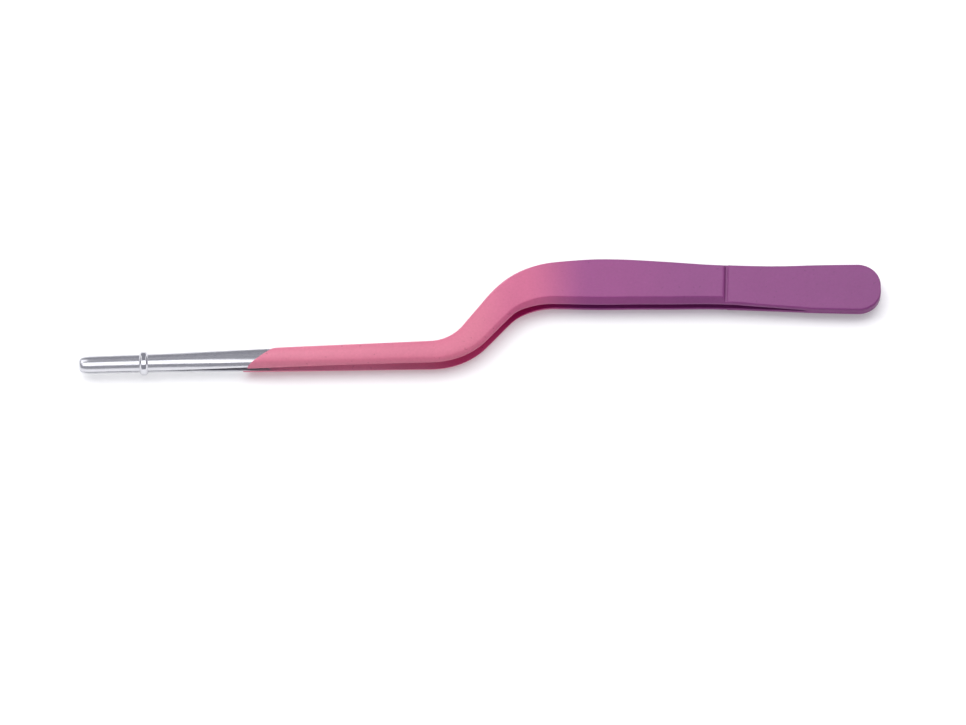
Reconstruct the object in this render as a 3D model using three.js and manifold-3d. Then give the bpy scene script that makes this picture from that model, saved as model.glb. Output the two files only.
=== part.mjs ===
// Bayonet forceps: two coated spring-steel arms, brazed together at the tail, with half-round
// serrated jaws and a half collar on each jaw. Millimetres; +X towards the tail, +Z the opening
// direction. The pair lies closed on its lower arm.
//
// Both arms follow one spine: a route in plan, walked by distance from the jaw tip. A cross
// section is set by its width, the height of its inner and outer faces above the plane between
// the arms, and how far its edges are rounded. The lower arm is the upper one mirrored.

import * as THREE from 'three'
import { mergeVertices } from 'three/addons/utils/BufferGeometryUtils.js'
import Module from 'manifold-3d'

const wasm = await Module()
wasm.setup()

const UPPER = 1
const LOWER = -1

// ---- Driving dimensions -------------------------------------------------------------------

const LENGTH = 186.4                 // along the spine, from jaw tip to tail end
const SHAFT_LENGTH = 78.5            // straight stretch from the jaw tip to the first bend
const LOWER_BEND = { radius: 13, turn: 50 }
const OFFSET_LEG_LENGTH = 8.5        // straight stretch between the two bends
const UPPER_BEND = { radius: 17.7, turn: -49 }
const HANDLE_SWEEP = { radius: 230, turn: -5 }
const HANDLE_LENGTH = 24.5           // straight stretch behind the sweep
const LEAF_SWEEP = { radius: 300, turn: 1.8 }
const TAIL_CORNER_RADIUS = 5.2

const COAT_CLEARANCE = 0.05          // between the steel and the inside of the coat
const COAT_THICKNESS = 0.15
const COAT_OUTSET = COAT_CLEARANCE + COAT_THICKNESS
const COAT_START = 40.8              // where the coat's slanted front edge crosses the spine
const COAT_SLANT = 37                // degrees between that edge and the spine
const LOWER_COAT_LEAD = 1.1          // the lower arm's coat starts this far ahead of the upper's
const COAT_TRIM = 6                  // extra length in front of the edge, cut away on the slant

const LEAF_SPLIT = 160               // where a leaf is divided into its front and rear half
const SPLIT_GAP = 0.2
const WELD_START = 169.5             // the two leaves are joined from here to the tail end
const FILLER = {
  sideInset: 0.3,                    // from the sides of the leaf roots
  frontInset: 2,                     // from where the leaves are joined
  rearInset: 0.8,                    // from the tail end
}

const JAW_RADIUS = 2.02              // half-round jaw, at the collar
const COLLAR = { at: 14.4, width: 1.9, radius: 2.68, bevel: 0.45, clearance: 0.05 }
const SERRATION = { pitch: 0.5, depth: 0.14, flankAngle: 50, start: 1.5, end: 24.5 }

const GUIDE_PIN = {
  at: 124, radius: 0.9, nose: 0.35,
  seat: 0.9, seatClearance: 0.05,    // depth in the lower arm
  reach: 0.7, clearance: 0.25,       // depth in the upper arm
}

// Cross sections of the bare steel, in order from the tip. `inner` and `outer` are the heights of
// the arm's two faces above the middle plane, `rim` the upright part of each edge, and `round` is
// 1 for a half-round section and 0 for a flat face with plain bevels.
const SECTIONS = [
  { at: 0.00, width: 2.40, inner: 0.05, outer: 1.25, rim: 0.10, round: 1 },
  { at: 0.35, width: 3.10, inner: 0.05, outer: 1.60, rim: 0.10, round: 1 },
  { at: 1.00, width: 3.56, inner: 0.05, outer: 1.82, rim: 0.10, round: 1 },
  { at: 2.20, width: 3.84, inner: 0.05, outer: 1.97, rim: 0.10, round: 1 },
  { at: 14.4, width: 2 * JAW_RADIUS, inner: 0.05, outer: 0.05 + JAW_RADIUS, rim: 0.10, round: 1 },
  { at: 18.0, width: 4.14, inner: 0.05, outer: 2.12, rim: 0.10, round: 1 },
  { at: 30.0, width: 4.44, inner: 0.40, outer: 2.22, rim: 0.20, round: 0.9 },
  { at: 41.0, width: 4.60, inner: 0.80, outer: 2.26, rim: 0.25, round: 0.8 },
  { at: 60.0, width: 4.80, inner: 1.35, outer: 2.35, rim: 0.25, round: 0.8 },
  { at: 78.5, width: 5.20, inner: 1.60, outer: 2.50, rim: 0.25, round: 0.8 },
  { at: 90.0, width: 6.30, inner: 1.65, outer: 2.50, rim: 0.25, round: 0.7 },
  { at: 99.0, width: 7.10, inner: 1.60, outer: 2.50, rim: 0.25, round: 0.5 },
  { at: 107.0, width: 9.30, inner: 1.15, outer: 2.50, rim: 0.30, round: 0.15 },
  { at: 114.0, width: 10.6, inner: 0.95, outer: 2.50, rim: 0.40, round: 0 },
  { at: 124.0, width: 11.5, inner: 0.95, outer: 2.50, rim: 0.40, round: 0 },
  { at: 137.0, width: 10.8, inner: 0.95, outer: 2.50, rim: 0.40, round: 0 },
  { at: 150.6, width: 9.80, inner: 0.95, outer: 2.50, rim: 0.40, round: 0 },
  { at: 151.1, width: 9.80, inner: 0.95, outer: 2.32, rim: 0.40, round: 0 },
  { at: 151.5, width: 9.80, inner: 0.94, outer: 1.36, rim: 0.36, round: 0 },
  { at: 151.8, width: 9.80, inner: 0.93, outer: 1.34, rim: 0.36, round: 0 },
  { at: 152.3, width: 9.80, inner: 0.92, outer: 1.56, rim: 0.50, round: 0 },
  { at: 160.0, width: 10.2, inner: 0.66, outer: 1.26, rim: 0.48, round: 0 },
  { at: 168.0, width: 11.0, inner: 0.38, outer: 0.98, rim: 0.48, round: 0 },
  { at: 171.0, width: 11.4, inner: 0.30, outer: 0.90, rim: 0.48, round: 0 },
  { at: LENGTH, width: 11.9, inner: 0.30, outer: 0.90, rim: 0.48, round: 0 },
]
const BEVEL_RUN = 0.7                // width of each bevel in plan, for a height of one

// Fineness of the solids.
const BEND_STEP = 6                  // degrees of bend between two cross sections
const STATION_GAP = 0.2              // least distance between two cross sections
const CORNER_STATIONS = 6            // across a rounded corner of a tail end
const COLLAR_SEGMENTS = 32
const PIN_SEGMENTS = 24

const STEEL = new THREE.MeshStandardMaterial({ color: 0xb9bdc4, metalness: 1, roughness: 0.25 })
const BRAZE = new THREE.MeshStandardMaterial({ color: 0xa89468, metalness: 1, roughness: 0.45 })
const COAT_PINK = new THREE.MeshStandardMaterial({ color: 0xd9759a, metalness: 0.1, roughness: 0.6 })
const COAT_PURPLE = new THREE.MeshStandardMaterial({ color: 0x9c5f93, metalness: 0.1, roughness: 0.6 })

// ---- Spine --------------------------------------------------------------------------------

const straight = (length) => ({ length, turn: 0 })
const bend = ({ radius, turn }) => {
  const angle = THREE.MathUtils.degToRad(turn)
  return { length: radius * Math.abs(angle), turn: angle }
}

const ROUTE = [
  straight(SHAFT_LENGTH),
  bend(LOWER_BEND),
  straight(OFFSET_LEG_LENGTH),
  bend(UPPER_BEND),
  bend(HANDLE_SWEEP),
  straight(HANDLE_LENGTH),
  bend(LEAF_SWEEP),
  straight(LENGTH),
]

// Point and heading on the spine, at a distance from the tip.
function spineAt(distance) {
  const point = new THREE.Vector2()
  let heading = 0
  let left = distance
  for (const leg of ROUTE) {
    const isLast = leg === ROUTE[ROUTE.length - 1]
    const length = isLast ? left : Math.min(left, leg.length)
    const turned = leg.turn * length / leg.length
    const chord = turned === 0 ? length : length * Math.sin(turned / 2) / (turned / 2)
    point.x += chord * Math.cos(heading + turned / 2)
    point.y += chord * Math.sin(heading + turned / 2)
    heading += turned
    left -= length
    if (left <= 0) break
  }
  return { point, heading }
}

// A point beside the spine: `side` to the left of it in plan, `height` above the middle plane.
function besideSpine(distance, side, height) {
  const { point, heading } = spineAt(distance)
  return new THREE.Vector3(
    point.x - side * Math.sin(heading),
    point.y + side * Math.cos(heading),
    height,
  )
}

// Distances of the cross sections that the route and the list of sections ask for.
function listedStations() {
  const stations = SECTIONS.map((section) => section.at)
  let legStart = 0
  for (const leg of ROUTE.slice(0, -1)) {
    const steps = Math.ceil(Math.abs(THREE.MathUtils.radToDeg(leg.turn)) / BEND_STEP) || 1
    for (let i = 0; i <= steps; i++) stations.push(legStart + leg.length * i / steps)
    legStart += leg.length
  }
  return stations.sort((a, b) => a - b)
}

// Stations across the rounded corners of a tail end at `end`, closer together towards the end.
function cornerStations(end) {
  return Array.from({ length: CORNER_STATIONS }, (_, i) => {
    const angle = Math.PI / 2 * i / CORNER_STATIONS
    return end - TAIL_CORNER_RADIUS * (1 - Math.sin(angle))
  })
}

function isTailEnd(end) {
  return end > LENGTH - TAIL_CORNER_RADIUS
}

function stationsBetween(start, end) {
  const last = isTailEnd(end) ? [...cornerStations(end), end] : [end]
  const stations = [start]
  for (const at of listedStations()) {
    const isClear = at > stations[stations.length - 1] + STATION_GAP && at < last[0] - STATION_GAP
    if (isClear) stations.push(at)
  }
  return [...stations, ...last]
}

// ---- Cross sections -----------------------------------------------------------------------

// Slope of a size at listed section `i`: none at a peak, a level or an end.
function slopeAt(i, key) {
  if (i === 0 || i === SECTIONS.length - 1) return 0
  const [a, b, c] = SECTIONS.slice(i - 1, i + 2)
  const before = (b[key] - a[key]) / (b.at - a.at)
  const after = (c[key] - b[key]) / (c.at - b.at)
  return before * after > 0 ? 2 * before * after / (before + after) : 0
}

// One size of the cross section at a distance: a smooth curve through the listed sections.
function sizeAt(distance, key) {
  const last = SECTIONS.length - 1
  const found = SECTIONS.findIndex((section) => section.at > distance)
  const next = found < 0 ? last : Math.max(found, 1)
  const a = SECTIONS[next - 1]
  const b = SECTIONS[next]
  const span = b.at - a.at
  const t = THREE.MathUtils.clamp((distance - a.at) / span, 0, 1)
  const rise = t * t * (3 - 2 * t)
  return a[key] * (1 - rise) + b[key] * rise
    + span * t * (1 - t) * ((1 - t) * slopeAt(next - 1, key) - t * slopeAt(next, key))
}

// Half the width at a distance, on a solid whose tail end is at `end`.
function halfWidthAt(distance, outset, end) {
  const half = sizeAt(distance, 'width') / 2 + outset
  const intoCorner = distance - (end - TAIL_CORNER_RADIUS)
  if (!isTailEnd(end) || intoCorner <= 0) return half
  return half - TAIL_CORNER_RADIUS + Math.sqrt(TAIL_CORNER_RADIUS ** 2 - intoCorner ** 2)
}

// Ring of points round one arm, all faces moved out by `outset`, as [side, height] pairs.
function sectionRing(distance, outset, end) {
  const half = halfWidthAt(distance, outset, end)
  const inner = sizeAt(distance, 'inner') - outset
  const outer = sizeAt(distance, 'outer') + outset
  const rim = sizeAt(distance, 'rim') + outset
  const round = sizeAt(distance, 'round')
  const bevel = outer - inner - rim
  const flat = half - BEVEL_RUN * bevel
  const bevelled = [
    [-half, inner], [-half, inner + rim], [-flat, outer], [-flat / 2, outer], [0, outer],
    [flat / 2, outer], [flat, outer], [half, inner + rim], [half, inner],
  ]
  return bevelled.map(([side, height], i) => {
    const angle = Math.PI * (1 - i / (bevelled.length - 1))
    const arcSide = half * Math.cos(angle)
    const arcHeight = inner + (outer - inner) * Math.sin(angle)
    return [
      THREE.MathUtils.lerp(side, arcSide, round),
      THREE.MathUtils.lerp(height, arcHeight, round),
    ]
  })
}

// ---- Solids -------------------------------------------------------------------------------

// Closed solid through a list of rings with equal numbers of points.
function loft(rings, mirrored) {
  const count = rings[0].length
  const points = rings.flat()
  const triangles = []
  for (let r = 0; r < rings.length - 1; r++) {
    for (let i = 0; i < count; i++) {
      const a = r * count + i
      const b = r * count + (i + 1) % count
      triangles.push([a, a + count, b], [b, a + count, b + count])
    }
  }
  const end = (rings.length - 1) * count
  for (let i = 1; i < count - 1; i++) {
    triangles.push([0, i, i + 1], [end, end + i + 1, end + i])
  }
  const order = mirrored ? triangles.map(([a, b, c]) => [a, c, b]) : triangles
  const geometry = new THREE.BufferGeometry().setFromPoints(points)
  geometry.setIndex(order.flat())
  return geometry
}

function toSolid(geometry) {
  geometry.deleteAttribute('normal')
  geometry.deleteAttribute('uv')
  const merged = mergeVertices(geometry, 1e-4)
  return new wasm.Manifold(new wasm.Mesh({
    numProp: 3,
    vertProperties: new Float32Array(merged.attributes.position.array),
    triVerts: new Uint32Array(merged.index.array),
  }))
}

function toMesh(name, solid, material) {
  const { vertProperties, triVerts, numProp } = solid.getMesh()
  const geometry = new THREE.BufferGeometry()
  geometry.setAttribute('position', new THREE.BufferAttribute(new Float32Array(vertProperties), numProp))
  geometry.setIndex([...triVerts])
  geometry.computeVertexNormals()
  const mesh = new THREE.Mesh(geometry, material)
  mesh.name = name
  return mesh
}

// One arm's solid between two distances, all faces moved out by `outset`.
function armSolid(arm, start, end, outset) {
  const rings = stationsBetween(start, end).map((distance) => (
    sectionRing(distance, outset, end).map(([side, height]) => (
      besideSpine(distance, side, arm * height)
    ))
  ))
  return toSolid(loft(rings, arm === LOWER))
}

// Upright round bar or hole on the spine.
function uprightCylinder(at, radius, bottom, top) {
  const geometry = new THREE.CylinderGeometry(radius, radius, top - bottom, PIN_SEGMENTS)
  geometry.rotateX(Math.PI / 2)
  const centre = besideSpine(at, 0, (bottom + top) / 2)
  geometry.translate(centre.x, centre.y, centre.z)
  return toSolid(geometry)
}

// ---- Sub-parts ----------------------------------------------------------------------------

// Grooves across the flat face of a jaw, as one solid to cut away.
function serrationCutters(arm) {
  const below = 2 * SERRATION.depth   // how far the cutters start outside the face
  const halfBase = (below + SERRATION.depth) * Math.tan(THREE.MathUtils.degToRad(SERRATION.flankAngle))
  const width = 3 * JAW_RADIUS
  const cutters = []
  for (let at = SERRATION.start; at <= SERRATION.end; at += SERRATION.pitch) {
    const level = sizeAt(at, 'inner')
    const profile = new THREE.Shape([
      new THREE.Vector2(at - halfBase, level - below),
      new THREE.Vector2(at + halfBase, level - below),
      new THREE.Vector2(at, level + SERRATION.depth),
    ])
    const geometry = new THREE.ExtrudeGeometry(profile, { depth: width, bevelEnabled: false })
    geometry.rotateX(Math.PI / 2)
    geometry.translate(0, width / 2, 0)
    if (arm === LOWER) geometry.rotateX(Math.PI)
    cutters.push(toSolid(geometry))
  }
  return wasm.Manifold.union(cutters)
}

// Blind hole for the guide pin: a tight seat in the lower arm, a wider hole in the upper one.
function armHole(arm) {
  const pin = GUIDE_PIN
  const inner = sizeAt(pin.at, 'inner')
  const isSeat = arm === LOWER
  const radius = pin.radius + (isSeat ? pin.seatClearance : pin.clearance)
  const depth = isSeat ? pin.seat + pin.seatClearance : pin.reach + pin.clearance
  const ends = [arm * (inner - 2 * COAT_OUTSET), arm * (inner + depth)]
  return uprightCylinder(pin.at, radius, Math.min(...ends), Math.max(...ends))
}

function makeArm(arm, name) {
  const bar = armSolid(arm, 0, LEAF_SPLIT - SPLIT_GAP / 2, 0)
  const cut = bar.subtract(serrationCutters(arm)).subtract(armHole(arm))
  return toMesh(name, cut, STEEL)
}

// Block in front of an arm's slanted coat edge, to cut away.
function coatFrontCutter(arm) {
  const crossing = COAT_START - (arm === LOWER ? LOWER_COAT_LEAD : 0)
  const length = COAT_START
  const geometry = new THREE.BoxGeometry(length, length, length)
  geometry.translate(-length / 2, 0, 0)
  geometry.rotateZ(THREE.MathUtils.degToRad(COAT_SLANT - 90))
  geometry.translate(crossing, 0, 0)
  return toSolid(geometry)
}

function makeArmCoat(arm, name) {
  const start = COAT_START - COAT_TRIM
  const end = LEAF_SPLIT - SPLIT_GAP / 2
  const skin = armSolid(arm, start, end, COAT_OUTSET)
  const hollow = armSolid(arm, start - 1, end + 1, COAT_CLEARANCE)
  const coat = skin.subtract(hollow).subtract(coatFrontCutter(arm)).subtract(armHole(arm))
  return toMesh(name, coat, COAT_PINK)
}

// Half of a turned ring round the jaw, with a bevel on both outer edges.
function makeCollar(arm, name) {
  const { at, width, radius, bevel, clearance } = COLLAR
  const bore = JAW_RADIUS / 2        // well inside the jaw, which is cut away below
  const profile = [
    [bore, -width / 2], [radius - bevel, -width / 2], [radius, bevel - width / 2],
    [radius, width / 2 - bevel], [radius - bevel, width / 2], [bore, width / 2], [bore, -width / 2],
  ].map(([r, along]) => new THREE.Vector2(r, along))
  const geometry = new THREE.LatheGeometry(profile, COLLAR_SEGMENTS)
  geometry.rotateZ(-Math.PI / 2)
  geometry.translate(at, 0, 0)
  const otherHalf = new THREE.BoxGeometry(2 * width, 3 * radius, 2 * radius)
  otherHalf.translate(at, 0, arm * (sizeAt(at, 'inner') - radius))
  const halfRing = toSolid(geometry)
    .subtract(toSolid(otherHalf))
    .subtract(armSolid(arm, at - 2 * width, at + 2 * width, clearance))
  return toMesh(name, halfRing, STEEL)
}

// Pin fixed in the lower arm, with a rounded nose that enters a blind hole in the upper one.
function makeGuidePin() {
  const { at, radius, seat, reach, nose } = GUIDE_PIN
  const inner = sizeAt(at, 'inner')
  const bottom = -(inner + seat)
  const top = inner + reach
  const profile = [
    [0, bottom], [radius, bottom], [radius, top - nose], [radius - nose / 3, top - nose / 3],
    [radius - nose, top], [0, top],
  ].map(([r, height]) => new THREE.Vector2(r, height))
  const geometry = new THREE.LatheGeometry(profile, PIN_SEGMENTS)
  geometry.rotateX(Math.PI / 2)
  const centre = besideSpine(at, 0, 0)
  geometry.translate(centre.x, centre.y, 0)
  return toMesh('guide_pin', toSolid(geometry), STEEL)
}

function makeLeafRoot(arm, name) {
  const root = armSolid(arm, LEAF_SPLIT + SPLIT_GAP / 2, LENGTH - COAT_OUTSET, 0)
  return toMesh(name, root, STEEL)
}

// Slab in the middle plane between two distances, following the outline of the leaf roots.
function slabSolid(start, end, outset, halfThickness) {
  const rings = stationsBetween(start, end).map((distance) => {
    const half = halfWidthAt(distance, outset, end)
    const corners = [[-half, -1], [-half, 1], [half, 1], [half, -1]]
    return corners.map(([side, sign]) => besideSpine(distance, side, sign * halfThickness))
  })
  return toSolid(loft(rings, false))
}

// Filler that joins the inner faces of the two leaf roots.
function brazeSolid(outset) {
  const halfThickness = sizeAt(LENGTH, 'inner') - COAT_CLEARANCE + outset
  const start = WELD_START + FILLER.frontInset - outset
  const end = LENGTH - FILLER.rearInset + outset
  return slabSolid(start, end, outset - FILLER.sideInset, halfThickness)
}

// Coat round both leaf roots. It closes the gap between them from where they are joined.
function makeTailCoat() {
  const start = LEAF_SPLIT + SPLIT_GAP / 2
  const skin = armSolid(UPPER, start, LENGTH, COAT_OUTSET)
    .add(armSolid(LOWER, start, LENGTH, COAT_OUTSET))
    .add(slabSolid(WELD_START, LENGTH, COAT_OUTSET, sizeAt(WELD_START, 'inner')))
  const steelEnd = LENGTH - COAT_THICKNESS
  const hollow = armSolid(UPPER, start - 1, steelEnd, COAT_CLEARANCE)
    .add(armSolid(LOWER, start - 1, steelEnd, COAT_CLEARANCE))
    .add(brazeSolid(COAT_CLEARANCE))
  return toMesh('tail_coat', skin.subtract(hollow), COAT_PURPLE)
}

// ---- Assembly -----------------------------------------------------------------------------

const forceps = new THREE.Group()
forceps.name = 'bayonet_forceps'
forceps.add(
  makeArm(LOWER, 'lower_arm'),
  makeArm(UPPER, 'upper_arm'),
  makeArmCoat(LOWER, 'lower_arm_coat'),
  makeArmCoat(UPPER, 'upper_arm_coat'),
  makeCollar(LOWER, 'lower_collar'),
  makeCollar(UPPER, 'upper_collar'),
  makeGuidePin(),
  makeLeafRoot(LOWER, 'lower_leaf_root'),
  makeLeafRoot(UPPER, 'upper_leaf_root'),
  toMesh('braze_layer', brazeSolid(0), BRAZE),
  makeTailCoat(),
)

// Set the origin under the middle of the pair, on the surface that it lies on.
const box = new THREE.Box3().setFromObject(forceps)
const middle = box.getCenter(new THREE.Vector3())
for (const mesh of forceps.children) mesh.geometry.translate(-middle.x, -middle.y, -box.min.z)

export default forceps
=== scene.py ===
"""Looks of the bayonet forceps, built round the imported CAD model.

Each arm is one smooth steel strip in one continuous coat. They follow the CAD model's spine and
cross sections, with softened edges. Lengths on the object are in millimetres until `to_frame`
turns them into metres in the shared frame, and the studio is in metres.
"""

import math
from collections import namedtuple
from functools import lru_cache

import bmesh
import bpy
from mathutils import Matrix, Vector


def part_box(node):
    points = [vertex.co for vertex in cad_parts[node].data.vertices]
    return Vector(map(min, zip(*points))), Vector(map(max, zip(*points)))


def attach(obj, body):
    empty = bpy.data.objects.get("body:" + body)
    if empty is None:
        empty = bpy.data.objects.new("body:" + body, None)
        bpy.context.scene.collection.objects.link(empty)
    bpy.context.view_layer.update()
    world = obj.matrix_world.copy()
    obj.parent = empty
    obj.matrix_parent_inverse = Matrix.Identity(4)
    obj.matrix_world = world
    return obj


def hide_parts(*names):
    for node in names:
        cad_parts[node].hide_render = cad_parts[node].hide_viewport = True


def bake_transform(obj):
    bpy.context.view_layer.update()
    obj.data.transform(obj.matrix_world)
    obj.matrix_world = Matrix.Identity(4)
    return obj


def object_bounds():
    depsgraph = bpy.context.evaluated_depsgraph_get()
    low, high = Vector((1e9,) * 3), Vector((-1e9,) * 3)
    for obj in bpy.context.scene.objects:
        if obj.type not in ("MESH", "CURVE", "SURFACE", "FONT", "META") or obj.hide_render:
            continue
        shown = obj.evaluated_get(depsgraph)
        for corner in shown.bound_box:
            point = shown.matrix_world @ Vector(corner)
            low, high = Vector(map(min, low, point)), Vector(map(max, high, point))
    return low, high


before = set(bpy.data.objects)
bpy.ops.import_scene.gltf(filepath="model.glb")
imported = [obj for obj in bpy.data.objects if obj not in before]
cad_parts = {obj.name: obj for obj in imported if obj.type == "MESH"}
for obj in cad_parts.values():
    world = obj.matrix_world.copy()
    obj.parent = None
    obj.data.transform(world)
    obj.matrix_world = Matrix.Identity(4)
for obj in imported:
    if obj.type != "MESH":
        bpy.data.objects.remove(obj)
cad_low, cad_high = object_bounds()

MM = 0.001
UPPER = 1
LOWER = -1

# ---- Driving dimensions, as in the CAD model ------------------------------------------------

LENGTH = 186.4                 # along the spine, from jaw tip to tail end
ROUTE = [                      # (length, turn in degrees) of each leg of the spine
    (78.5, 0),                 # shaft
    (13 * math.radians(50), 50),
    (8.5, 0),                  # offset leg
    (17.7 * math.radians(49), -49),
    (230 * math.radians(5), -5),
    (24.5, 0),                 # handle
    (300 * math.radians(1.8), 1.8),
    (LENGTH, 0),               # leaf and tail
]
TAIL_CORNER_RADIUS = 5.2

COAT_CLEARANCE = 0.05          # between the steel and the inside of the coat
COAT_THICKNESS = 0.15
COAT_OUTSET = COAT_CLEARANCE + COAT_THICKNESS
COAT_START = 40.8              # where the slanted front edge crosses the spine
COAT_SLANT = math.radians(37)  # between that edge and the spine
COAT_LEAD = {UPPER: 0.0, LOWER: -1.1}   # each arm's front edge lies this far behind COAT_START
COAT_INNER_LEAD = -1.0         # and the edge on the inner faces this far
COAT_SLANT_FADE = 12           # the cross sections stand square again this far behind it

LEAF_FRONT = 152.5             # the leaf bends between these two distances
WELD_START = 169.5             # and the two leaves are joined from here to the tail end
WELD_ROUNDING = 0.8

SERRATION_PITCH = 0.5
SERRATION_DEPTH = 0.14
SERRATION_HALF_WIDTH = SERRATION_DEPTH * math.tan(math.radians(50))
SERRATION_START = 1.5
SERRATION_END = 24.5

COLLAR_AT = 14.4
COLLAR_WIDTH = 1.9
COLLAR_RADIUS = 2.68
COLLAR_BEVEL = 0.45
COLLAR_BORE = 1.9
COLLAR_SOFTENING = 0.12

PIN_AT = 124
PIN_RADIUS = 0.9
PIN_NOSE = 0.35
PIN_SEAT = 0.9                 # depth in the lower arm
PIN_REACH = 0.7                # depth in the upper arm
PIN_CHAMFER = 0.1
PIN_NOSE_STEPS = 6
HOLE_CLEARANCE = {LOWER: 0.05, UPPER: 0.25}

# Cross sections of an arm's bare steel: the distance along the spine, the width, the heights of
# the inner and outer faces above mid-plane, the height of the upright rim above the inner face,
# and the shape of the outer side, from 0 for flat with bevels to 1 for half-round.
Section = namedtuple("Section", "at width inner outer rim round")
SECTIONS = [
    Section(0.00, 2.40, 0.05, 1.25, 0.10, 1),
    Section(0.35, 3.10, 0.05, 1.60, 0.10, 1),
    Section(1.00, 3.56, 0.05, 1.82, 0.10, 1),
    Section(2.20, 3.84, 0.05, 1.97, 0.10, 1),
    Section(14.4, 4.04, 0.05, 2.07, 0.10, 1),
    Section(18.0, 4.14, 0.05, 2.12, 0.10, 1),
    Section(30.0, 4.44, 0.40, 2.22, 0.20, 0.9),
    Section(41.0, 4.60, 0.80, 2.26, 0.25, 0.8),
    Section(60.0, 4.80, 1.35, 2.35, 0.25, 0.8),
    Section(78.5, 5.20, 1.60, 2.50, 0.25, 0.8),
    Section(90.0, 6.30, 1.65, 2.50, 0.25, 0.7),
    Section(99.0, 7.10, 1.60, 2.50, 0.25, 0.5),
    Section(107.0, 9.30, 1.15, 2.50, 0.30, 0.15),
    Section(114.0, 10.6, 0.95, 2.50, 0.40, 0),
    Section(124.0, 11.5, 0.95, 2.50, 0.40, 0),
    Section(137.0, 10.8, 0.95, 2.50, 0.40, 0),
    Section(150.6, 9.80, 0.95, 2.50, 0.40, 0),
    Section(151.1, 9.80, 0.95, 2.32, 0.40, 0),
    Section(151.5, 9.80, 0.94, 1.36, 0.36, 0),
    Section(151.8, 9.80, 0.93, 1.34, 0.36, 0),
    Section(152.3, 9.80, 0.92, 1.56, 0.50, 0),
    Section(160.0, 10.2, 0.66, 1.26, 0.48, 0),
    Section(168.0, 11.0, 0.38, 0.98, 0.48, 0),
    Section(171.0, 11.4, 0.30, 0.90, 0.48, 0),
    Section(LENGTH, 11.9, 0.30, 0.90, 0.48, 0),
]
BEVEL_RUN = 0.7                # width of each bevel in plan, for a height of one

# ---- Fineness of the meshes -----------------------------------------------------------------

STATION_STEP = 1.0             # between cross sections
GROOVE = (150.0, 153.0)        # across the step behind the handle, where they are closer
FINE_STEP = 0.1                # there, and where the leaves join
TAIL_CORNER_STEPS = 24
TIP_STEPS = 4                  # over the rounded edge of the jaw tip
TIP_STEP = 0.2                 # from there to the first serration
CORNER_FACETS = 4              # across each softened edge
ARM_FACETS = (7, 3, 4, 14, 4, 3, 7)  # half the inner face, rim, bevel, outer face, and back round
STEEL_SOFTENING = 0.12         # how far from an edge its softening starts
COAT_SOFTENING = 0.22
WELDED_SOFTENING = 0.01        # at the inner edges where the two coats meet
SOFTENING_LIMIT = 0.45         # share of an edge's length that one softening may take
TIP_ROUNDING = 0.12
RETREAT_LIMIT = 0.98           # keeps the bevel on the tail's last ring from shrinking to nothing
ROUND_FACETS = 64              # round the collars and the pin
COLLAR_FACETS = (2, 2, 3, 2, 2)  # side, bevel, outer face, bevel and side
SHARP_ANGLE = math.radians(40)   # edges sharper than this stay crisp

# ---- Looks ----------------------------------------------------------------------------------

COAT_GRADIENT = [              # (share of the length from the tip, sRGB colour)
    (0.24, (204, 114, 137)),
    (0.48, (198, 104, 130)),
    (0.55, (188, 88, 126)),
    (0.64, (136, 54, 117)),
    (0.78, (126, 52, 114)),
    (1.00, (121, 49, 111)),
]
COAT_INNER_PAINTED_SHADING = [        # inner faces, with painted light and shade of the gap between the arms: paler on the shaft where the gap is lit, deeper from the bend to the handle where it is in shade
    (0.34, (216, 140, 168)),
    (0.42, (206, 120, 152)),
    (0.48, (200, 72, 125)),
    (0.55, (180, 30, 105)),
    (0.64, (136, 44, 118)),
    (1.00, (121, 44, 112)),
]
STEEL_COLOUR = (0.66, 0.66, 0.69)
GROUND_COLOUR = (0.50, 0.50, 0.54)   # the inner faces, left as ground
BRAZE_COLOUR = (0.55, 0.42, 0.22)
DRAWN_ROUGHNESS = 0.26
GROUND_ROUGHNESS = 0.45
POLISHED_ROUGHNESS = 0.14

WORLD_COLOUR = (0.96, 0.96, 1.08)
WORLD_STRENGTH = 0.36
SIDE_LIGHT = dict(elevation=42, distance=1.3, width=1.1, height=0.9)
LEFT_LIGHT = dict(azimuth=-122, radiance=1.4)
RIGHT_LIGHT = dict(azimuth=118, radiance=1.0)
KEY_LIGHT = dict(azimuth=200, elevation=64, distance=1.5, width=1.9, height=1.5)
KEY_RADIANCE = 2.4
KEY_OPEN_SHARE = 0.05          # the part of the key's light that the bare metal shades
FRONT_LIGHT = dict(azimuth=-10, elevation=22, distance=1.3, width=1.6, height=0.5, radiance=1.2)
STRIP_LIGHT = dict(azimuth=0, elevation=66, distance=1.2, width=1.8, height=0.8, radiance=2.0)

TABLE_COLOUR = (0.82, 0.82, 0.82)
TABLE_GLOW = 0.2
TABLE_REACH = 3.0              # metres
TABLE_GAP = 0.00002            # keeps the table's surface apart from the face that lies on it

CAMERA_AZIMUTH = -1.94
CAMERA_ELEVATION = 58
CAMERA_DISTANCE = 1.377        # metres
CAMERA_LENS = 230
CAMERA_AIM_BEFORE = 0.0126     # metres from the object's middle towards the camera

# ---- Spine ----------------------------------------------------------------------------------

# The spine starts at the end of the box, in line with the collars and halfway up.
TIP = Vector((
    cad_low.x,
    sum(corner.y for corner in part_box("lower_collar")) / 2,
    (cad_low.z + cad_high.z) / 2,
))


@lru_cache(maxsize=None)
def spine_at(distance):
    """Point and heading on the spine, in plan, at a distance from the jaw tip."""
    x = y = heading = 0.0
    left = distance
    for leg_length, turn in ROUTE:
        length = min(left, leg_length)
        turned = math.radians(turn) * length / leg_length
        chord = length if turned == 0 else length * math.sin(turned / 2) / (turned / 2)
        x += chord * math.cos(heading + turned / 2)
        y += chord * math.sin(heading + turned / 2)
        heading += turned
        left -= length
        if left <= 0:
            break
    return x, y, heading


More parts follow.
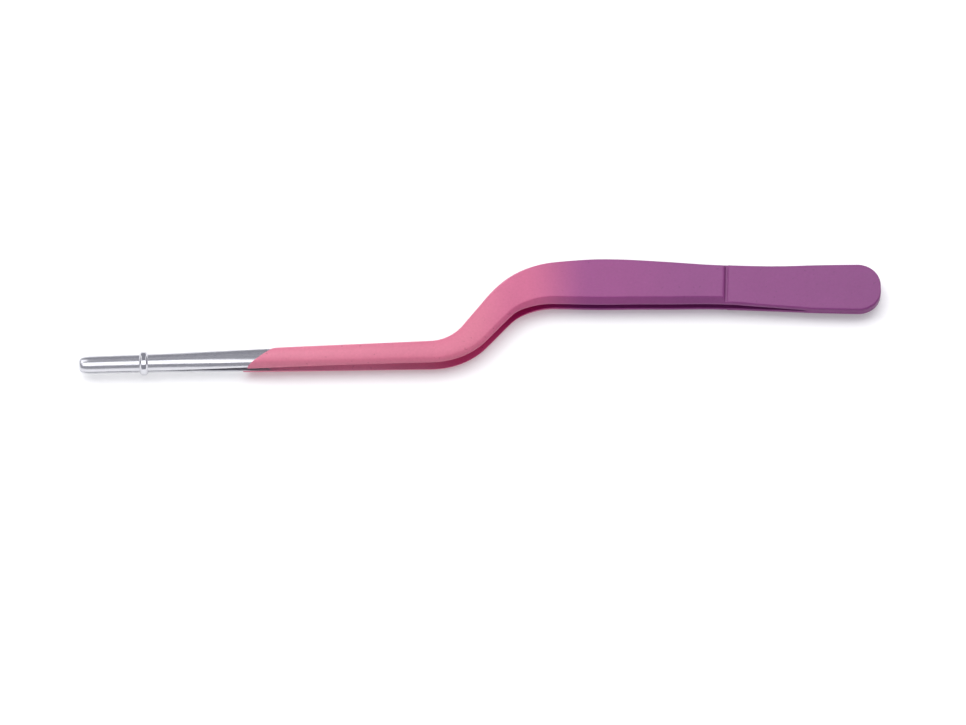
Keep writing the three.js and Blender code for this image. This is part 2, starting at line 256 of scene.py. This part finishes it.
def to_frame(distance, side, height):
    """Point in the shared frame: `side` to the left of the spine, `height` above mid-plane."""
    x, y, heading = spine_at(distance)
    beside = Vector((x - side * math.sin(heading), y + side * math.cos(heading), height))
    return TIP + beside * MM


def spaced(start, end, step):
    """Distances from start to end, both included, about `step` apart."""
    count = max(1, round((end - start) / step))
    return [start + (end - start) * i / count for i in range(count + 1)]


# ---- Cross sections -------------------------------------------------------------------------

def mix(a, b, share):
    return a + (b - a) * share


def smooth_step(share):
    share = min(max(share, 0.0), 1.0)
    return share * share * (3 - 2 * share)


def slope_at(i, key):
    """Slope of a size at listed section i: none at a peak, a level or an end."""
    if i in (0, len(SECTIONS) - 1):
        return 0.0
    a, b, c = SECTIONS[i - 1:i + 2]
    before = (getattr(b, key) - getattr(a, key)) / (b.at - a.at)
    after = (getattr(c, key) - getattr(b, key)) / (c.at - b.at)
    return 2 * before * after / (before + after) if before * after > 0 else 0.0


@lru_cache(maxsize=None)
def section_at(distance):
    """Cross section of the bare steel at a distance: smooth curves through the listed ones."""
    following = next((i for i, s in enumerate(SECTIONS) if s.at > distance), len(SECTIONS) - 1)
    following = max(following, 1)
    a, b = SECTIONS[following - 1], SECTIONS[following]
    span = b.at - a.at
    t = min(max((distance - a.at) / span, 0.0), 1.0)
    sizes = {"at": distance}
    for key in Section._fields[1:]:
        pull = (1 - t) * slope_at(following - 1, key) - t * slope_at(following, key)
        level = mix(getattr(a, key), getattr(b, key), smooth_step(t))
        sizes[key] = level + span * t * (1 - t) * pull
    return Section(**sizes)


def cut_back(corner, neighbour, reach):
    """Point on the way from a corner to its neighbour, where the softening of the corner starts."""
    gap = max((neighbour - corner).xy.length, 1e-6)
    return corner.lerp(neighbour, min(reach / gap, SOFTENING_LIMIT))


def softened(chain, reaches, facets):
    """Points along an open chain of corners, without its last one, each corner rounded off."""
    points = []
    last_end = chain[0]
    for i, corner in enumerate(chain[1:-1], start=1):
        start = cut_back(corner, chain[i - 1], reaches[i - 1])
        end = cut_back(corner, chain[i + 1], reaches[i - 1])
        points += [last_end.lerp(start, step / facets[i - 1]) for step in range(facets[i - 1])]
        for step in range(CORNER_FACETS):
            t = step / CORNER_FACETS
            points.append((1 - t) ** 2 * start + 2 * t * (1 - t) * corner + t * t * end)
        last_end = end
    return points + [last_end.lerp(chain[-1], step / facets[-1]) for step in range(facets[-1])]


def half_round(place, half, inner, outer):
    """Point of a half-round outline: places 0 to 1 go over the arc, the others are on the flat."""
    if place < 0:
        return -half * (1 + 2 * place), inner
    if place > 1:
        return half * (3 - 2 * place), inner
    angle = math.pi * (1 - place)
    return half * math.cos(angle), inner + (outer - inner) * math.sin(angle)


def in_tail_corner(distance, end, half, rim_top, bevel):
    """Half width, half width of the outer face and its height, between the tail's round corners."""
    run = BEVEL_RUN * bevel
    middle = half - TAIL_CORNER_RADIUS
    retreat = min(max(1 - (end - distance) / run, 0.0), RETREAT_LIMIT)
    top_radius = TAIL_CORNER_RADIUS - run * (1 - retreat)
    into_corner = distance - (end - TAIL_CORNER_RADIUS)
    half = middle + math.sqrt(max(TAIL_CORNER_RADIUS ** 2 - into_corner ** 2, 0.0))
    flat = middle + math.sqrt(max(top_radius ** 2 - into_corner ** 2, 0.0))
    return half, flat, rim_top + bevel * math.sqrt(1 - retreat ** 2)


def tip_inset(distance):
    """How far the faces draw in near the jaw tip, which rounds its edge."""
    left = min(distance / TIP_ROUNDING, 1.0)
    return TIP_ROUNDING * (1 - math.sqrt(1 - (1 - left) ** 2))


@lru_cache(maxsize=None)
def outline_at(distance, outset, softening):
    """Outline of an arm with its faces moved out by `outset`, as (side, height, place) triples.

    The place is how far round the outline a point is: 0 and 1 are the edges of the inner face.
    """
    section = section_at(distance)
    end = LENGTH - COAT_OUTSET + outset
    is_skin = outset == COAT_OUTSET
    weld = smooth_step((distance - WELD_START) / (2 * WELD_ROUNDING) + 0.5) if is_skin else 0.0
    moved_out = outset - (0.0 if outset else tip_inset(distance))
    half = section.width / 2 + moved_out
    inner = mix(section.inner - moved_out, 0.0, weld)
    rim_top = section.inner + section.rim
    outer = section.outer + moved_out
    bevel = outer - rim_top
    flat = half - BEVEL_RUN * bevel
    if distance > end - TAIL_CORNER_RADIUS:
        half, flat, outer = in_tail_corner(distance, end, half, rim_top, bevel)

    chain = [Vector(corner) for corner in (
        (0, inner, -0.5), (-half, inner, 0), (-half, rim_top, 1 / 8), (-flat, outer, 2 / 8),
        (flat, outer, 6 / 8), (half, rim_top, 7 / 8), (half, inner, 1), (0, inner, 1.5),
    )]
    inner_softening = mix(softening, WELDED_SOFTENING, weld)
    reaches = [inner_softening, softening, softening, softening, softening, inner_softening]
    outline = []
    for side, height, place in softened(chain, reaches, ARM_FACETS):
        arc_side, arc_height = half_round(place, half, inner, outer)
        share = section.round
        outline.append((mix(side, arc_side, share), mix(height, arc_height, share), place))
    return outline


# ---- Meshes ---------------------------------------------------------------------------------

def loft(name, rings, second_material_places=()):
    """Smooth closed mesh through a list of rings with equal numbers of points.

    The third argument lists the places round the ring whose faces take the second material: ground
    steel on a strip, and on a coat the copy with painted light and shade of the gap.
    """
    size = len(rings[0])
    points = [point for ring in rings for point in ring]
    faces = []
    for first in range(0, len(points) - size, size):
        for i in range(size):
            a, b = first + i, first + (i + 1) % size
            faces.append((a, b, b + size, a + size))
    faces.append(tuple(range(size)))
    faces.append(tuple(range(len(points) - size, len(points))))
    mesh = bpy.data.meshes.new(name)
    mesh.from_pydata(points, [], faces)
    shape = bmesh.new()
    shape.from_mesh(mesh)
    shape.faces.ensure_lookup_table()
    for first in range(0, (len(rings) - 1) * size, size):
        for i in second_material_places:
            shape.faces[first + i].material_index = 1
    bmesh.ops.recalc_face_normals(shape, faces=shape.faces)
    shape.to_mesh(mesh)
    shape.free()
    piece = bpy.data.objects.new(name, mesh)
    bpy.context.scene.collection.objects.link(piece)
    return piece


def shade(piece, *materials):
    """Gives a piece its materials, and smooth shading that stays flat on its flat faces."""
    for material in materials:
        piece.data.materials.append(material)
    piece.data.shade_smooth()
    piece.data.set_sharp_from_angle(angle=SHARP_ANGLE)
    weighting = piece.modifiers.new("flat_faces", "WEIGHTED_NORMAL")
    weighting.keep_sharp = True


def cut(piece, cutter):
    """Cuts one mesh away from another, and removes the cutter."""
    modifier = piece.modifiers.new("cut", "BOOLEAN")
    modifier.object = cutter
    modifier.solver = "EXACT"
    depsgraph = bpy.context.evaluated_depsgraph_get()
    piece.data = bpy.data.meshes.new_from_object(piece.evaluated_get(depsgraph))
    piece.modifiers.clear()
    bpy.data.objects.remove(cutter)


def stations(start, end):
    """Distances of the cross sections, closer together where the shape turns fast.

    `end` is a tail end with rounded corners.
    """
    marks = [
        start, *GROOVE, WELD_START - WELD_ROUNDING, WELD_START + WELD_ROUNDING,
        end - TAIL_CORNER_RADIUS,
    ]
    steps = [STATION_STEP, FINE_STEP, STATION_STEP, FINE_STEP, STATION_STEP]
    distances = []
    for low, high, step in zip(marks, marks[1:], steps):
        distances += spaced(low, high, step)[:-1]
    for i in range(TAIL_CORNER_STEPS + 1):
        angle = math.pi / 2 * i / TAIL_CORNER_STEPS
        distances.append(end - TAIL_CORNER_RADIUS * (1 - math.sin(angle)))
    return distances


def arm_ring(arm, distance, outset, softening):
    outline = outline_at(distance, outset, softening)
    return [to_frame(distance, side, arm * height) for side, height, _ in outline]


def inner_places(outset, softening):
    """Where in a ring the faces of the arm's inner face are."""
    outline = outline_at(COAT_START, outset, softening)
    return [i for i, (_, _, place) in enumerate(outline) if place < 0 or place > 1]


# ---- Steel arms -----------------------------------------------------------------------------

def serration_depth_at(distance):
    """Depth of the V grooves across the flat face of a jaw, at a distance."""
    if not SERRATION_START - SERRATION_HALF_WIDTH < distance < SERRATION_END + SERRATION_HALF_WIDTH:
        return 0.0
    from_start = (distance - SERRATION_START) / SERRATION_PITCH
    off_centre = abs(from_start - round(from_start)) * SERRATION_PITCH
    return SERRATION_DEPTH * max(0.0, 1 - off_centre / SERRATION_HALF_WIDTH)


def steel_distances():
    """Distances of the steel's cross sections: three for each serration, beside it and in it."""
    distances = []
    for i in range(TIP_STEPS):
        distances.append(TIP_ROUNDING * (1 - math.cos(math.pi / 2 * i / TIP_STEPS)))
    distances += spaced(TIP_ROUNDING, SERRATION_START - SERRATION_HALF_WIDTH, TIP_STEP)[:-1]
    groove_count = round((SERRATION_END - SERRATION_START) / SERRATION_PITCH) + 1
    for i in range(groove_count):
        centre = SERRATION_START + i * SERRATION_PITCH
        distances += [centre - SERRATION_HALF_WIDTH, centre, centre + SERRATION_HALF_WIDTH]
    return distances + stations(SERRATION_END + SERRATION_PITCH, LENGTH - COAT_OUTSET)


def make_steel(arm, name, material, inner_material):
    """One arm's spring-steel strip, from the serrated jaw to the end of the tail."""
    rings = []
    for distance in steel_distances():
        groove_top = section_at(distance).inner + serration_depth_at(distance)
        ring = []
        for side, height, _ in outline_at(distance, 0, STEEL_SOFTENING):
            ring.append(to_frame(distance, side, arm * max(height, groove_top)))
        rings.append(ring)
    steel = loft(name, rings, inner_places(0, STEEL_SOFTENING))
    cut(steel, hole_cutter(arm))
    shade(steel, material, inner_material)
    return steel


# ---- Coats ----------------------------------------------------------------------------------

def coat_front_shifts(arm):
    """How far behind COAT_START the front edge crosses each point of the outline.

    The masked edge slants one way over the outer face and the other way over the inner face.
    """
    shifts = []
    for side, _, place in outline_at(COAT_START, COAT_OUTSET, COAT_SOFTENING):
        on_inner_face = place < 0 or place > 1
        if on_inner_face:
            shifts.append(COAT_INNER_LEAD - side / math.tan(COAT_SLANT))
        else:
            shifts.append(COAT_LEAD[arm] + side / math.tan(COAT_SLANT))
    return shifts


def coat_ring(arm, distance, outset, shifts):
    """Ring of the coat. Near the front edge it is skewed to run along that edge."""
    fade = 1 - smooth_step((distance - COAT_START) / COAT_SLANT_FADE)
    if fade == 0:
        return arm_ring(arm, distance, outset, COAT_SOFTENING)
    ring = []
    for i, shift in enumerate(shifts):
        at = distance + shift * fade
        side, height, _ = outline_at(at, outset, COAT_SOFTENING)[i]
        ring.append(to_frame(at, side, arm * height))
    return ring


def make_coat(arm, name, material, inner_material):
    """One arm's coat: a thin skin with a rounded front edge. Over the tail the two coats meet."""
    shifts = coat_front_shifts(arm)
    inside = stations(COAT_START, LENGTH - COAT_THICKNESS)
    outside = stations(COAT_START + COAT_THICKNESS, LENGTH)
    rings = [coat_ring(arm, at, COAT_CLEARANCE, shifts) for at in reversed(inside)]
    for step in range(1, CORNER_FACETS):
        angle = math.pi / 2 * step / CORNER_FACETS
        at = COAT_START + COAT_THICKNESS * (1 - math.cos(angle))
        rings.append(coat_ring(arm, at, COAT_CLEARANCE + COAT_THICKNESS * math.sin(angle), shifts))
    rings += [coat_ring(arm, at, COAT_OUTSET, shifts) for at in outside]
    coat = loft(name, rings, inner_places(COAT_OUTSET, COAT_SOFTENING))
    cut(coat, hole_cutter(arm))
    shade(coat, material, inner_material)
    return coat


# ---- Collars and pin ------------------------------------------------------------------------

def make_collar(arm, name, material):
    """Half of a turned collar round the jaw, with bevelled edges."""
    half = COLLAR_WIDTH / 2
    crest = half - COLLAR_BEVEL
    shoulder = COLLAR_RADIUS - COLLAR_BEVEL
    chain = [Vector((along, radius, 0)) for along, radius in (
        (-half, COLLAR_BORE), (-half, shoulder), (-crest, COLLAR_RADIUS),
        (crest, COLLAR_RADIUS), (half, shoulder), (half, COLLAR_BORE),
    )]
    profile = softened(chain, [COLLAR_SOFTENING] * 4, COLLAR_FACETS) + [chain[-1]]
    rings = []
    for step in range(ROUND_FACETS // 2 + 1):
        angle = math.pi * step / (ROUND_FACETS // 2)
        rings.append([
            to_frame(COLLAR_AT + along, radius * math.cos(angle), arm * radius * math.sin(angle))
            for along, radius, _ in profile
        ])
    collar = loft(name, rings)
    shade(collar, material)
    return collar


def round_bar(name, at, profile):
    """Upright turned bar on the spine, through (radius, height) pairs from one end to the other."""
    rings = []
    for radius, height in profile:
        rings.append([
            to_frame(
                at + radius * math.cos(2 * math.pi * step / ROUND_FACETS),
                radius * math.sin(2 * math.pi * step / ROUND_FACETS),
                height,
            )
            for step in range(ROUND_FACETS)
        ])
    return loft(name, rings)


def hole_cutter(arm):
    """Solid of the blind pin hole in an arm: a tight seat in the lower one, wider in the upper."""
    inner = section_at(PIN_AT).inner
    depth = PIN_SEAT if arm == LOWER else PIN_REACH
    clearance = HOLE_CLEARANCE[arm]
    heights = (inner - 2 * COAT_OUTSET, inner + depth + clearance)
    return round_bar("hole", PIN_AT, [(PIN_RADIUS + clearance, arm * height) for height in heights])


def make_guide_pin(name, material):
    """Pin fixed in the lower arm, with a rounded nose that enters the hole in the upper one."""
    inner = section_at(PIN_AT).inner
    bottom = -(inner + PIN_SEAT)
    shoulder = inner + PIN_REACH - PIN_NOSE
    profile = [(PIN_RADIUS - PIN_CHAMFER, bottom), (PIN_RADIUS, bottom + PIN_CHAMFER)]
    for step in range(PIN_NOSE_STEPS + 1):
        angle = math.pi / 2 * step / PIN_NOSE_STEPS
        radius = PIN_RADIUS - PIN_NOSE * (1 - math.cos(angle))
        profile.append((radius, shoulder + PIN_NOSE * math.sin(angle)))
    pin = round_bar(name, PIN_AT, profile)
    shade(pin, material)
    return pin


# ---- Materials ------------------------------------------------------------------------------

class Nodes:
    """Short calls for building the node tree of one material."""

    def __init__(self, name):
        self.material = bpy.data.materials.new(name)
        self.material.use_nodes = True
        self.tree = self.material.node_tree
        self.shader = self.tree.nodes["Principled BSDF"]
        self.place = self.add("ShaderNodeTexCoord").outputs["Object"]

    def add(self, kind, sockets=None, **settings):
        node = self.tree.nodes.new(kind)
        for setting, value in settings.items():
            setattr(node, setting, value)
        for socket, value in (sockets or {}).items():
            if isinstance(value, bpy.types.NodeSocket):
                self.tree.links.new(value, node.inputs[socket])
            else:
                node.inputs[socket].default_value = value
        return node

    def drive(self, socket, value):
        self.tree.links.new(value, self.shader.inputs[socket])

    def noise(self, grain, detail=2.0, stretch=(1, 1, 1)):
        """Noise from 0 to 1 whose patches are about `grain` millimetres, longer where stretched."""
        scale = [1 / (grain * MM * s) for s in stretch]
        placed = self.add("ShaderNodeMapping", {"Vector": self.place, "Scale": scale})
        made = self.add("ShaderNodeTexNoise", {
            "Vector": placed.outputs["Vector"], "Scale": 1.0, "Detail": detail, "Roughness": 0.6,
        })
        return made.outputs["Fac"]

    def ranged(self, value, low, high, source=(0.0, 1.0)):
        """A value taken from its source range to low..high."""
        return self.add("ShaderNodeMapRange", {
            "Value": value, "From Min": source[0], "From Max": source[1],
            "To Min": low, "To Max": high,
        }).outputs["Result"]

    def times(self, a, b):
        return self.add("ShaderNodeMath", {0: a, 1: b}, operation="MULTIPLY").outputs["Value"]

    def scaled_colour(self, colour, amount):
        """A colour made lighter or darker by an amount about 1."""
        scaled = self.add("ShaderNodeVectorMath", {0: colour, "Scale": amount}, operation="SCALE")
        return scaled.outputs["Vector"]

    def bump(self, height, depth):
        """Relief of `depth` millimetres on the shader's normal."""
        made = self.add("ShaderNodeBump", {"Height": height, "Distance": depth * MM})
        self.drive("Normal", made.outputs["Normal"])


def linear(red, green, blue):
    """Linear colour with full opacity, from sRGB values of 0 to 255."""
    values = []
    for value in (red / 255, green / 255, blue / 255):
        values.append(value / 12.92 if value <= 0.04045 else ((value + 0.055) / 1.055) ** 2.4)
    return (*values, 1.0)


def make_coat_material(name, gradient):
    """Matt powder coat that turns from pink on the shaft to purple on the handle. The inner faces'
    copy has painted light and shade of the gap in its gradient.
    """
    nodes = Nodes(name)
    along = nodes.add("ShaderNodeSeparateXYZ", {"Vector": nodes.place}).outputs["X"]
    share = nodes.ranged(along, 0.0, 1.0, source=(cad_low.x, cad_high.x))
    ramp = nodes.add("ShaderNodeValToRGB", {"Fac": share})
    ramp.color_ramp.interpolation = "EASE"
    stops = ramp.color_ramp.elements
    while len(stops) < len(gradient):
        stops.new(0.5)
    for stop, (position, colour) in zip(stops, gradient):
        stop.position = position
        stop.color = linear(*colour)
    mottle = nodes.ranged(nodes.noise(6.0), 0.95, 1.05)
    grain = nodes.ranged(nodes.noise(0.6, detail=3.0), 0.90, 1.10)
    specks = nodes.ranged(nodes.noise(0.9, detail=1.0), 0.80, 1.0, source=(0.24, 0.30))
    amount = nodes.times(nodes.times(mottle, grain), specks)
    nodes.drive("Base Color", nodes.scaled_colour(ramp.outputs["Color"], amount))
    nodes.drive("Roughness", nodes.ranged(nodes.noise(0.7, detail=3.0), 0.36, 0.50))
    nodes.shader.inputs["Specular IOR Level"].default_value = 0.4
    nodes.bump(nodes.noise(0.6, detail=3.0), 0.04)
    return nodes.material


def make_steel_material(name, colour, roughness):
    """Steel worked lengthways, with fine drawn-out scratches."""
    nodes = Nodes(name)
    nodes.shader.inputs["Metallic"].default_value = 1.0
    tone = nodes.ranged(nodes.noise(0.25, detail=4.0, stretch=(30, 1, 1)), 0.93, 1.05)
    nodes.drive("Base Color", nodes.scaled_colour(colour, tone))
    streaks = nodes.noise(0.12, detail=4.0, stretch=(60, 1, 1))
    nodes.drive("Roughness", nodes.ranged(streaks, roughness * 0.75, roughness * 1.35))
    nodes.bump(streaks, 0.0015)
    return nodes.material


def make_braze_material():
    """Pale brass filler, dull and uneven where it has run."""
    nodes = Nodes("braze_filler")
    nodes.shader.inputs["Metallic"].default_value = 1.0
    flow = nodes.noise(0.9, detail=4.0)
    nodes.drive("Base Color", nodes.scaled_colour(BRAZE_COLOUR, nodes.ranged(flow, 0.75, 1.1)))
    nodes.drive("Roughness", nodes.ranged(flow, 0.35, 0.6))
    nodes.bump(flow, 0.03)
    return nodes.material


# ---- Studio ---------------------------------------------------------------------------------

def direction(azimuth, elevation):
    """Direction from the object. Azimuth 0 is towards the camera's side, 90 towards +X."""
    a, e = math.radians(azimuth), math.radians(elevation)
    return Vector((math.sin(a) * math.cos(e), -math.cos(a) * math.cos(e), math.sin(e)))


def aim(thing, towards):
    """Turns a camera or light, which look along their own -Z, towards a point."""
    thing.rotation_euler = (towards - thing.location).to_track_quat("-Z", "Y").to_euler()


def make_light(name, azimuth, elevation, distance, width, height, radiance):
    """Soft rectangular light, aimed at the object."""
    data = bpy.data.lights.new(name, "AREA")
    data.shape = "RECTANGLE"
    data.size = width
    data.size_y = height
    data.energy = radiance * math.pi * width * height
    light = bpy.data.objects.new(name, data)
    bpy.context.scene.collection.objects.link(light)
    light.location = direction(azimuth, elevation) * distance
    aim(light, Vector((0, 0, 0)))
    return light


def make_camera():
    """Camera at the photograph's viewing angle, with the object above the middle of its frame."""
    data = bpy.data.cameras.new("camera")
    data.lens = CAMERA_LENS
    camera = bpy.data.objects.new("camera", data)
    bpy.context.scene.collection.objects.link(camera)
    target = Vector((0, -CAMERA_AIM_BEFORE, TIP.z))
    camera.location = target + direction(CAMERA_AZIMUTH, CAMERA_ELEVATION) * CAMERA_DISTANCE
    aim(camera, target)
    bpy.context.scene.camera = camera


def make_floor():
    """Seamless pale table that the forceps lie on."""
    mesh = bpy.data.meshes.new("floor")
    level = cad_low.z - TABLE_GAP
    corners = [
        (x * TABLE_REACH, y * TABLE_REACH, level)
        for x, y in ((-1, -1), (1, -1), (1, 1), (-1, 1))
    ]
    mesh.from_pydata(corners, [], [(0, 1, 2, 3)])
    floor = bpy.data.objects.new("floor", mesh)
    bpy.context.scene.collection.objects.link(floor)
    nodes = Nodes("white_table")
    tone = nodes.ranged(nodes.noise(4.0), 0.985, 1.0)
    nodes.drive("Base Color", nodes.scaled_colour(TABLE_COLOUR, tone))
    nodes.shader.inputs["Roughness"].default_value = 0.9
    nodes.shader.inputs["Emission Color"].default_value = (1, 1, 1, 1)
    nodes.shader.inputs["Emission Strength"].default_value = TABLE_GLOW
    mesh.materials.append(nodes.material)
    return floor


def make_world():
    world = bpy.data.worlds.new("studio")
    world.use_nodes = True
    background = world.node_tree.nodes["Background"]
    background.inputs["Color"].default_value = (*WORLD_COLOUR, 1.0)
    background.inputs["Strength"].default_value = WORLD_STRENGTH
    bpy.context.scene.world = world


def make_studio(bare_metal, coated):
    """Table, camera and soft lights.

    The strip is only for the highlight along the bare metal. The key and the front light are only
    for the rest, and most of the key's light passes the bare metal without a shadow.
    """
    make_world()
    coated.objects.link(make_floor())
    make_light("left", **SIDE_LIGHT, **LEFT_LIGHT)
    make_light("right", **SIDE_LIGHT, **RIGHT_LIGHT)
    key = make_light("key", radiance=KEY_RADIANCE * KEY_OPEN_SHARE, **KEY_LIGHT)
    soft_key = make_light("soft_key", radiance=KEY_RADIANCE * (1 - KEY_OPEN_SHARE), **KEY_LIGHT)
    soft_key.light_linking.blocker_collection = coated
    front = make_light("front", **FRONT_LIGHT)
    for light in (key, soft_key, front):
        light.light_linking.receiver_collection = coated
    strip = make_light("strip", **STRIP_LIGHT)
    strip.visible_diffuse = False
    strip.light_linking.receiver_collection = bare_metal
    make_camera()
    bpy.context.scene.view_settings.view_transform = "Standard"


# ---- Assembly -------------------------------------------------------------------------------

def bend_along_leaf(piece, arm):
    """Bakes a piece's placement into its mesh. The points where the leaf bends and where the leaves
    are joined are worked out but not used.
    """
    front = to_frame(LEAF_FRONT, 0, 0)
    back = to_frame(WELD_START, 0, 0)
    if arm == UPPER:
        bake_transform(piece)
    else:
        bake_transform(piece)


def assemble():
    """Makes every piece, and sets the collars and the pin on their bodies. Returns the bare and the
    coated pieces.
    """
    bare_metal = bpy.data.collections.new("bare_metal")
    coated = bpy.data.collections.new("coated")
    steel = make_steel_material("drawn_steel", STEEL_COLOUR, DRAWN_ROUGHNESS)
    ground = make_steel_material("ground_steel", GROUND_COLOUR, GROUND_ROUGHNESS)
    polished = make_steel_material("polished_steel", STEEL_COLOUR, POLISHED_ROUGHNESS)
    powder = make_coat_material("powder_coat", COAT_GRADIENT)
    # the inner faces take a copy of the coat with the gap's light and shade painted into its colour
    inner_coat_painted_shading = make_coat_material("inner_coat_with_painted_shading", COAT_INNER_PAINTED_SHADING)
    for arm, side in ((UPPER, "upper"), (LOWER, "lower")):
        body = f"{side}_arm"
        strip = make_steel(arm, f"{side}_steel", steel, ground)
        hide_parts(f"{side}_arm", f"{side}_leaf_root")
        bend_along_leaf(strip, arm)
        bare_metal.objects.link(strip)

        coat = make_coat(arm, f"{side}_coat", powder, inner_coat_painted_shading)
        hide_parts(f"{side}_arm_coat", "tail_coat")
        bend_along_leaf(coat, arm)
        coated.objects.link(coat)

        collar = make_collar(arm, f"{side}_half_collar", polished)
        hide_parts(f"{side}_collar")
        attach(collar, body)
        bare_metal.objects.link(collar)

    pin = make_guide_pin("pin", polished)
    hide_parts("guide_pin")
    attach(pin, "lower_arm")
    bare_metal.objects.link(pin)

    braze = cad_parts["braze_layer"]
    braze.material_slots[0].material = make_braze_material()
    return bare_metal, coated


make_studio(*assemble())
